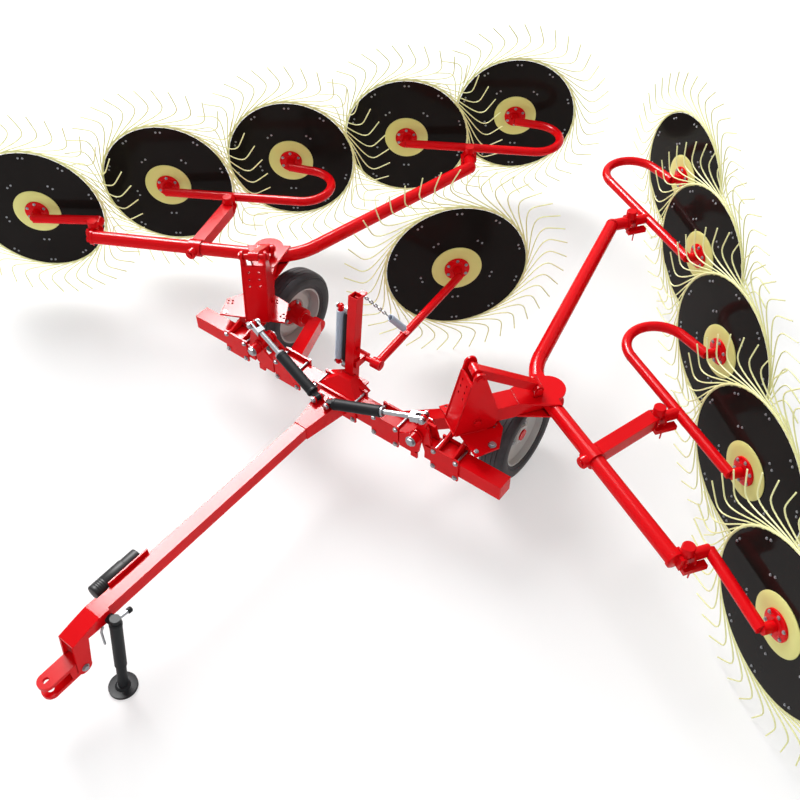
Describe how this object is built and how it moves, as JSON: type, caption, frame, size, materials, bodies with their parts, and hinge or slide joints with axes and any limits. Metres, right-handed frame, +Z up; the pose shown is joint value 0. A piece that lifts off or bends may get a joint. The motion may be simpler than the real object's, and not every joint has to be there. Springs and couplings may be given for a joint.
{
  "type": "v wheel rake",
  "caption": "Towed V wheel rake with two wings of ground-driven tined wheels behind a wheeled frame, a centre kicker wheel, lift cylinders, a drawbar and a parking jack.",
  "frame": {"origin": "on the ground under the middle of the machine's box", "axes": "+Z up, -Y towards the hitch at the front, +X to the machine's left"},
  "size_m": [6.4144, 5.5932, 1.4381],
  "materials": {
    "red_paint": "glossy",
    "tine_steel": "satin",
    "wind_guard": "glossy",
    "tyre": "matte",
    "rim_grey": "satin",
    "chrome_rod": "polished",
    "black_paint": "satin",
    "black_plastic": "matte",
    "spring_blue": "satin",
    "zinc": "zinc plated"
  },
  "bodies": {
    "frame": {"crossbeam": "red_paint", "drawbar": "red_paint", "hitch": "red_paint", "document_tube": "black_plastic", "jack_tube": "black_paint", "mast": "red_paint", "mast_strut": "black_paint", "mast_spring": "spring_blue", "kicker_chain": "zinc", "kicker_spring": "spring_blue", "lift_base_left": "red_paint", "wheel_leg_left": "red_paint", "lift_base_right": "red_paint", "wheel_leg_right": "red_paint"},
    "jack_foot": {"jack_leg": "black_paint"},
    "kicker": {"kicker_arm": "red_paint"},
    "kicker_wheel": {"tined_wheel_kicker": "tine_steel", "windguard_kicker": "wind_guard"},
    "wing_left": {"outer_beam_left": "red_paint", "tower_left": "red_paint", "top_link_left": "red_paint", "wing_beam_left": "red_paint", "front_arm_left": "red_paint", "mid_rocker_left": "red_paint", "rear_rocker_left": "red_paint"},
    "ground_wheel_left": {"tyre_left": "tyre", "rim_left": "rim_grey"},
    "barrel_left": {"barrel_left": "black_paint"},
    "rod_left": {"rod_left": "chrome_rod"},
    "rake_wheel_left_1": {"tined_wheel_left_1": "tine_steel", "windguard_left_1": "wind_guard"},
    "rake_wheel_left_2": {"tined_wheel_left_2": "tine_steel", "windguard_left_2": "wind_guard"},
    "rake_wheel_left_3": {"tined_wheel_left_3": "tine_steel", "windguard_left_3": "wind_guard"},
    "rake_wheel_left_4": {"tined_wheel_left_4": "tine_steel", "windguard_left_4": "wind_guard"},
    "rake_wheel_left_5": {"tined_wheel_left_5": "tine_steel", "windguard_left_5": "wind_guard"},
    "wing_right": {"outer_beam_right": "red_paint", "tower_right": "red_paint", "top_link_right": "red_paint", "wing_beam_right": "red_paint", "front_arm_right": "red_paint", "mid_rocker_right": "red_paint", "rear_rocker_right": "red_paint"},
    "ground_wheel_right": {"tyre_right": "tyre", "rim_right": "rim_grey"},
    "barrel_right": {"barrel_right": "black_paint"},
    "rod_right": {"rod_right": "chrome_rod"},
    "rake_wheel_right_1": {"tined_wheel_right_1": "tine_steel", "windguard_right_1": "wind_guard"},
    "rake_wheel_right_2": {"tined_wheel_right_2": "tine_steel", "windguard_right_2": "wind_guard"},
    "rake_wheel_right_3": {"tined_wheel_right_3": "tine_steel", "windguard_right_3": "wind_guard"},
    "rake_wheel_right_4": {"tined_wheel_right_4": "tine_steel", "windguard_right_4": "wind_guard"},
    "rake_wheel_right_5": {"tined_wheel_right_5": "tine_steel", "windguard_right_5": "wind_guard"}
  },
  "joints": [
    {"name": "wing_lift_left", "type": "hinge", "parent": "frame", "child": "wing_left", "pos_m": [0.588, -0.583, 0.611], "axis": [0, -1, 0], "range_deg": [0, 25]},
    {"name": "barrel_swing_left", "type": "hinge", "parent": "frame", "child": "barrel_left", "pos_m": [0.039, -0.738, 0.6], "axis": [-0.0018, -0.81, 0.5864], "range_deg": [-0.3, 2.76]},
    {"name": "rod_slide_left", "type": "slide", "parent": "barrel_left", "child": "rod_left", "axis": [0.9461, 0.1886, 0.2633], "range_m": [-0.063, 0.001]},
    {"name": "rake_spin_left_1", "type": "hinge", "parent": "wing_left", "child": "rake_wheel_left_1", "pos_m": [2.617, -0.635, 0.72], "axis": [-0.5736, -0.8192, 0], "continuous": true},
    {"name": "rake_spin_left_2", "type": "hinge", "parent": "wing_left", "child": "rake_wheel_left_2", "pos_m": [2.139, 0.119, 0.72], "axis": [-0.5736, -0.8192, 0], "continuous": true},
    {"name": "rake_spin_left_3", "type": "hinge", "parent": "wing_left", "child": "rake_wheel_left_3", "pos_m": [1.661, 0.873, 0.72], "axis": [-0.5736, -0.8192, 0], "continuous": true},
    {"name": "rake_spin_left_4", "type": "hinge", "parent": "wing_left", "child": "rake_wheel_left_4", "pos_m": [1.183, 1.627, 0.72], "axis": [-0.5736, -0.8192, 0], "continuous": true},
    {"name": "rake_spin_left_5", "type": "hinge", "parent": "wing_left", "child": "rake_wheel_left_5", "pos_m": [0.705, 2.381, 0.72], "axis": [-0.5736, -0.8192, 0], "continuous": true},
    {"name": "ground_spin_left", "type": "hinge", "parent": "frame", "child": "ground_wheel_left", "pos_m": [0.883, -0.039, 0.307], "axis": [1, 0, 0], "continuous": true},
    {"name": "wing_lift_right", "type": "hinge", "parent": "frame", "child": "wing_right", "pos_m": [-0.588, -0.583, 0.611], "axis": [0, 1, 0], "range_deg": [0, 25]},
    {"name": "barrel_swing_right", "type": "hinge", "parent": "frame", "child": "barrel_right", "pos_m": [-0.039, -0.738, 0.6], "axis": [-0.0018, 0.81, -0.5864], "range_deg": [-0.3, 2.76]},
    {"name": "rod_slide_right", "type": "slide", "parent": "barrel_right", "child": "rod_right", "axis": [-0.9461, 0.1886, 0.2633], "range_m": [-0.063, 0.001]},
    {"name": "rake_spin_right_1", "type": "hinge", "parent": "wing_right", "child": "rake_wheel_right_1", "pos_m": [-2.617, -0.635, 0.72], "axis": [0.5736, -0.8192, 0], "continuous": true},
    {"name": "rake_spin_right_2", "type": "hinge", "parent": "wing_right", "child": "rake_wheel_right_2", "pos_m": [-2.139, 0.119, 0.72], "axis": [0.5736, -0.8192, 0], "continuous": true},
    {"name": "rake_spin_right_3", "type": "hinge", "parent": "wing_right", "child": "rake_wheel_right_3", "pos_m": [-1.661, 0.873, 0.72], "axis": [0.5736, -0.8192, 0], "continuous": true},
    {"name": "rake_spin_right_4", "type": "hinge", "parent": "wing_right", "child": "rake_wheel_right_4", "pos_m": [-1.183, 1.627, 0.72], "axis": [0.5736, -0.8192, 0], "continuous": true},
    {"name": "rake_spin_right_5", "type": "hinge", "parent": "wing_right", "child": "rake_wheel_right_5", "pos_m": [-0.705, 2.381, 0.72], "axis": [0.5736, -0.8192, 0], "continuous": true},
    {"name": "ground_spin_right", "type": "hinge", "parent": "frame", "child": "ground_wheel_right", "pos_m": [-0.883, -0.039, 0.307], "axis": [1, 0, 0], "continuous": true},
    {"name": "kicker_lift", "type": "hinge", "parent": "frame", "child": "kicker", "pos_m": [0.126, -0.399, 0.7], "axis": [1, 0, 0], "range_deg": [0, 25], "deforming": ["kicker_chain", "kicker_spring"]},
    {"name": "kicker_spin", "type": "hinge", "parent": "kicker", "child": "kicker_wheel", "pos_m": [0, 0.581, 0.72], "axis": [0.7071, -0.7071, 0], "continuous": true},
    {"name": "jack_slide", "type": "slide", "parent": "frame", "child": "jack_foot", "axis": [0, 0.1736, 0.9848], "range_m": [0, 0.13]}
  ],
  "couplings": [
    {"joint": "barrel_swing_left", "follows": "wing_lift_left", "ratio": 0.0986},
    {"joint": "rod_slide_left", "follows": "wing_lift_left", "m_per_rad": -0.14207},
    {"joint": "barrel_swing_right", "follows": "wing_lift_right", "ratio": 0.0986},
    {"joint": "rod_slide_right", "follows": "wing_lift_right", "m_per_rad": -0.14207}
  ]
}
